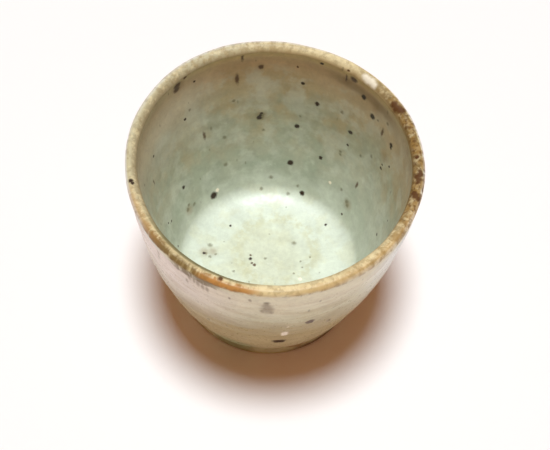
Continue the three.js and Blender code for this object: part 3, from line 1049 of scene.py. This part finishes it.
def with_stains(tree, shade, ways, stains):
    """Adds the stains of a table to a colour, in order. Ways are where their masks are read."""
    paint = bpy.context.scene.soba_choko_cup.colours
    bands = {}
    for tint, strength, stretch, part, *patterns in stains:
        if stretch not in bands:
            along = ways["wavy"] if stretch in SWAYING else ways["past_lip"]
            bands[stretch] = band(tree, along, *stretch)
        masks = [bands[stretch]]
        for name, *numbers in patterns:
            masks.append(patches(tree, ways[name], *numbers) if numbers else ways[name])
        if part is not ALL_ROUND:
            masks.append(side(tree, ways["outward"], *part))
        shade = stain(tree, shade, getattr(paint, tint), strength, *masks)
    return shade


def glaze_material(name, roughness, shine, peel_depth, start, end):
    """A wood-ash glaze on stoneware, milky where it is thick and brown where it runs thin over the lip.

    All three coats share this one build, so that their colours meet where the coats do. The start and
    end, in millimetres past the lip's crest, choose the marks that this coat needs. Shine is how
    strongly it mirrors.
    """
    cup = bpy.context.scene.soba_choko_cup
    paint = cup.colours
    skin = skin_outline(cup.sizes)
    material, tree, shader = new_material(name)
    place = add(tree, "ShaderNodeAttribute", attribute_name="round_place").node.outputs["Vector"]
    place = vector(tree, "SCALE", place, named={"Scale": 1 / MM})
    past_lip = add(tree, "ShaderNodeAttribute", attribute_name="past_lip").node.outputs["Fac"]
    outward = vector(tree, "MULTIPLY", place, (1, 1, 0))
    outward = vector(tree, "NORMALIZE", outward)
    upright = vector(tree, "MULTIPLY", place, UPRIGHT)

    # Bands of colour along the skin, with uneven edges that are straighter near the lip
    distance = maths(tree, "ABSOLUTE", past_lip)
    sway = add(tree, RANGE, distance, *SWAY)
    wavy = past_lip
    for size, amount in ((BROAD_SWAY, sway), (FINE_SWAY, SWAY_FINELY)):
        noise = add(tree, NOISE, place, 1 / size, 2)
        noise = maths(tree, "SUBTRACT", noise, 0.5)
        wavy = maths(tree, "MULTIPLY_ADD", noise, amount, wavy)
    shade = ramp(tree, wavy, [(at, getattr(paint, tint)) for at, tint in SKIN_COLOURS])

    # Strokes run across the lip, where the glaze was wiped
    along = product(tree, past_lip, STROKES_ACROSS)
    along = add(tree, "ShaderNodeCombineXYZ", 0, 0, along)
    from_ring = vector(tree, "DISTANCE", place, RING_MIDDLE)
    from_ring = maths(tree, "ABSOLUTE", maths(tree, "SUBTRACT", from_ring, RING_RADIUS))
    ways = {
        "past_lip": past_lip,
        "wavy": wavy,
        "outward": outward,
        "place": place,
        "apart": vector(tree, "ADD", place, APART),
        "upright": upright,
        "turned": vector(tree, "MULTIPLY", place, TURNED),
        "strokes": vector(tree, "MULTIPLY_ADD", outward, STROKES_ROUND, along),
        "ring": fade(tree, from_ring, *RING_FADE, 1, 0),
    }
    shade = with_stains(tree, shade, ways, CLOUDS)

    # Fine mottling all over, under the stains of the lip
    cloud = add(tree, NOISE, place, 1 / CLOUD, 4, MOTTLE_ROUGHNESS)
    cloud = add(tree, RANGE, cloud, *CLOUD_TONES)
    mottle = add(tree, NOISE, place, 1 / MOTTLE, 3, MOTTLE_ROUGHNESS)
    mottle = add(tree, RANGE, mottle, *MOTTLE_TONES)
    tone = product(tree, cloud, mottle)
    shade = vector(tree, "SCALE", shade, named={"Scale": tone})
    shade = with_stains(tree, shade, ways, LIP_STAINS)

    # Tiny specks and dashes of any strength, and the larger marks at their own places
    cells = add(tree, "ShaderNodeTexVoronoi", upright, 1 / SPECK_CELL)
    chance = add(tree, "ShaderNodeSeparateColor", cells.node.outputs["Color"])
    speck_size = add(tree, RANGE, chance, *SPECK_SIZES)
    speck = maths(tree, "DIVIDE", cells, speck_size)
    speck = fade(tree, speck, *SPECK_EDGE, 1, 0)
    shade = stain(tree, shade, paint.smudge, SPECK_STRENGTH, speck)
    blur = add(tree, NOISE, place, 1 / RAGGED, 2).node.outputs["Color"]
    blur = vector(tree, "SUBTRACT", blur, MIDDLE_GREY)
    ragged = vector(tree, "MULTIPLY_ADD", blur, RAGGED_REACH, place)
    for tint, softness, strength, height_share, marks in MARK_KINDS:
        placed = [
            (mark_place(skin, angle, at), width) for angle, at, width in marks
            if start - MARK_REACH < at < end + MARK_REACH]
        if placed:
            inside = spots(tree, ragged, placed, softness, height_share)
            shade = stain(tree, shade, getattr(paint, tint), strength, inside)

    # Orange peel in the glaze
    peel = add(tree, NOISE, place, 1 / PEEL, 2)
    bump = add(tree, "ShaderNodeBump", 1, peel_depth * MM, named={"Height": peel})
    rougher, smoother = roughness + ROUGHNESS_SWING, roughness - ROUGHNESS_SWING
    rough = add(tree, RANGE, mottle, *MOTTLE_TONES[2:], rougher, smoother)
    shader.inputs["Specular IOR Level"].default_value = shine
    finish(tree, shader, shade, rough, bump)
    return material


# Stoneware: sizes in millimetres of the fire's patches, the grit and the grain, and how each shows.
FIRE_PATCH = 8
FIRE_EDGE = (0.35, 0.65)
GRIT = 1.1
GRIT_EDGE = (0.2, 0.12)
GRIT_STRENGTH = 0.6
GRIT_COLOUR = linear("4A3520")
GRAIN = 0.35
GRAIN_DEPTH = 0.12 * MM
GRAIN_STRENGTH = 0.5
GRAIN_TONES = (0.3, 0.7)
CLAY_ROUGHNESS_SWING = 0.08


def clay_material(name, tint, toast, roughness):
    """Fired stoneware, unglazed: matte buff clay with dark grit, toasted in patches by the fire."""
    material, tree, shader = new_material(name)
    place = add(tree, "ShaderNodeTexCoord").node.outputs["Object"]
    place = vector(tree, "SCALE", place, named={"Scale": 1 / MM})
    patch = add(tree, NOISE, place, 1 / FIRE_PATCH, 3)
    patch = add(tree, RANGE, patch, *FIRE_EDGE, 0, 1)
    shade = add(tree, MIX, patch, (*tint, 1), (*toast, 1), data_type="RGBA")
    grit = add(tree, "ShaderNodeTexVoronoi", place, 1 / GRIT)
    grit = add(tree, RANGE, grit, *GRIT_EDGE, 0, GRIT_STRENGTH)
    shade = add(tree, MIX, grit, shade, (*GRIT_COLOUR, 1), data_type="RGBA")
    grain = add(tree, NOISE, place, 1 / GRAIN, 3)
    bump = add(tree, "ShaderNodeBump", GRAIN_STRENGTH, GRAIN_DEPTH, named={"Height": grain})
    limits = roughness - CLAY_ROUGHNESS_SWING, roughness + CLAY_ROUGHNESS_SWING
    rough = add(tree, RANGE, grain, *GRAIN_TONES, *limits)
    finish(tree, shader, shade, rough, bump)
    return material


class CUP_OT_clay_body(bpy.types.Operator):
    """Throws the clay body: the stoneware wall and floor under the glazes"""

    bl_idname = "cup.clay_body"
    bl_label = "Clay body"

    def execute(self, context):
        cup = context.scene.soba_choko_cup
        clay = clay_material("Buff stoneware", cup.colours.clay, cup.colours.toasted, 0.85)
        piece = turn_piece(
            "clay_body", clay_body_outline(cup.sizes), clay,
            **{"Rings": cup.hand.turned_rings, "Ring Pitch": cup.hand.turned_pitch})
        return {"FINISHED"}


class CUP_OT_foot_ring(bpy.types.Operator):
    """Turns the foot ring: the bare clay ring that the cup stands on"""

    bl_idname = "cup.foot_ring"
    bl_label = "Foot ring"

    def execute(self, context):
        cup = context.scene.soba_choko_cup
        clay = clay_material("Toasted stoneware foot", cup.colours.toasted, cup.colours.clay, 0.9)
        piece = turn_piece("foot_ring", foot_ring_outline(cup.sizes), clay)
        return {"FINISHED"}


class CUP_OT_inner_glaze(bpy.types.Operator):
    """Pours the inner glaze: milky celadon with iron specks, on the inner wall and the floor"""

    bl_idname = "cup.inner_glaze"
    bl_label = "Inner glaze"

    def execute(self, context):
        cup = context.scene.soba_choko_cup
        glaze = glaze_material(
            "Celadon glaze", roughness=0.4, shine=0.5, peel_depth=0.03, start=5, end=82)
        piece = turn_piece(
            "inner_glaze", inner_glaze_outline(cup.sizes), glaze,
            lumps=INNER_LUMPS,
            **{"Rings": cup.hand.inner_rings, "Ring Pitch": cup.hand.ring_pitch})
        return {"FINISHED"}


class CUP_OT_outer_glaze(bpy.types.Operator):
    """Pours the outer glaze: cream ash glaze on the outer wall and the foot's side"""

    bl_idname = "cup.outer_glaze"
    bl_label = "Outer glaze"

    def execute(self, context):
        cup = context.scene.soba_choko_cup
        hand = cup.hand
        glaze = glaze_material(
            "Ash glaze", roughness=0.3, shine=0.18, peel_depth=0.015, start=-64, end=-6)
        piece = turn_piece(
            "outer_glaze", outer_glaze_outline(cup.sizes), glaze,
            lumps=[
                (angle, at, ASH_LUMP_WIDTH * width, ASH_LUMP_HEIGHT)
                for angle, at, width in ASH_SPOTS_AND_GLINTS if at < 0],
            **{"Rings": hand.outer_rings, "Ring Pitch": hand.ring_pitch, "Ridges": hand.ridges,
               "Run Drop": hand.run_drop, "Run Swell": hand.run_swell})
        return {"FINISHED"}


class CUP_OT_lip_glaze(bpy.types.Operator):
    """Dips the lip: thin iron-stained glaze over the rim"""

    bl_idname = "cup.lip_glaze"
    bl_label = "Lip glaze"

    def execute(self, context):
        cup = context.scene.soba_choko_cup
        glaze = glaze_material(
            "Iron lip glaze", roughness=0.45, shine=0.25, peel_depth=0.07, start=-6, end=5)
        piece = turn_piece("lip_glaze", lip_glaze_outline(cup.sizes), glaze)
        return {"FINISHED"}


FLOOR_SIZE = 6
PAPER_COLOUR = linear("FAFBFC")
PAPER_ROUGHNESS = 0.9
PAPER_SHINE = 0.1
CAMERA_DISTANCE = 0.3
CAMERA_NEAR = 0.01
CAMERA_ELEVATION = math.radians(57.34)
CAMERA_ROLL = math.radians(2.08)
CAMERA_TARGET = Vector((1.6 * MM, -20.5 * MM, 61.75 * MM))
CAMERA_LENS = 78.03
KEY_STRENGTH = 3.0
KEY_COLOUR = linear("F4FCFF")
KEY_SPREAD = math.radians(15)
FILL_STRENGTH = 0.25
FILL_COLOUR = linear("FF995C")


class CUP_OT_stage(bpy.types.Operator):
    """Sets the stage: white paper floor, one soft lamp, warm fill and the camera"""

    bl_idname = "cup.stage"
    bl_label = "Stage"

    def execute(self, context):
        scene = context.scene
        mesh = bpy.data.meshes.new("floor")
        half = FLOOR_SIZE / 2
        corners = [(-half, -half, 0), (half, -half, 0), (half, half, 0), (-half, half, 0)]
        mesh.from_pydata(corners, [], [(0, 1, 2, 3)])
        floor = put("floor", mesh)
        paper, _, shader = new_material("White paper")
        shader.inputs["Base Color"].default_value = (*PAPER_COLOUR, 1)
        shader.inputs["Roughness"].default_value = PAPER_ROUGHNESS
        shader.inputs["Specular IOR Level"].default_value = PAPER_SHINE
        mesh.materials.append(paper)

        key = bpy.data.lights.new("key", "SUN")
        key.energy = KEY_STRENGTH
        key.color = KEY_COLOUR
        key.angle = KEY_SPREAD
        put("key", key)

        world = bpy.data.worlds.new("Studio")
        scene.world = world
        world.use_nodes = True
        tree = world.node_tree
        tree.nodes.clear()
        path = add(tree, "ShaderNodeLightPath").node.outputs
        seen = maths(tree, "MAXIMUM", path["Is Camera Ray"], path["Is Glossy Ray"])
        seen = maths(tree, "MAXIMUM", seen, path["Is Transmission Ray"])
        fill = add(tree, "ShaderNodeBackground", (*FILL_COLOUR, 1), FILL_STRENGTH)
        white = add(tree, "ShaderNodeBackground", (1, 1, 1, 1), 1)
        light = add(tree, "ShaderNodeMixShader", seen, fill, white)
        add(tree, "ShaderNodeOutputWorld", light)

        camera = put("camera", bpy.data.cameras.new("camera"))
        camera.data.lens = CAMERA_LENS
        camera.data.clip_start = CAMERA_NEAR
        back = Vector((0, -math.cos(CAMERA_ELEVATION), math.sin(CAMERA_ELEVATION)))
        tilt = Matrix.Rotation(math.pi / 2 - CAMERA_ELEVATION, 4, "X")
        roll = Matrix.Rotation(CAMERA_ROLL, 4, "Z")
        camera.matrix_world = Matrix.Translation(CAMERA_TARGET + CAMERA_DISTANCE * back) @ tilt @ roll
        scene.camera = camera
        scene.view_settings.view_transform = "Standard"
        return {"FINISHED"}


OPERATORS = (
    CUP_OT_clay_body, CUP_OT_foot_ring, CUP_OT_inner_glaze, CUP_OT_outer_glaze, CUP_OT_lip_glaze,
    CUP_OT_stage,
)


class CUP_PT_panel(bpy.types.Panel):
    """Lists the cup's sizes, colours and steps"""

    bl_idname = "CUP_PT_panel"
    bl_label = "Soba choko cup"
    bl_space_type = "VIEW_3D"
    bl_region_type = "UI"
    bl_category = "Cup"

    def draw(self, context):
        cup = context.scene.soba_choko_cup
        for group in (cup.sizes, cup.hand, cup.colours):
            box = self.layout.box()
            for name in group.__annotations__:
                box.prop(group, name)
        for operator in OPERATORS:
            self.layout.operator(operator.bl_idname)


CLASSES = (CupSizes, HandMarks, CupColours, SobaChokoCup, *OPERATORS, CUP_PT_panel)


def register():
    for each in CLASSES:
        bpy.utils.register_class(each)
    bpy.types.Scene.soba_choko_cup = PointerProperty(type=SobaChokoCup)


def unregister():
    del bpy.types.Scene.soba_choko_cup
    for each in reversed(CLASSES):
        bpy.utils.unregister_class(each)


def main():
    """Registers the add-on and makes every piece."""
    register()
    for operator in OPERATORS:
        group, name = operator.bl_idname.split(".")
        getattr(getattr(bpy.ops, group), name)()


if __name__ == "__main__":
    main()
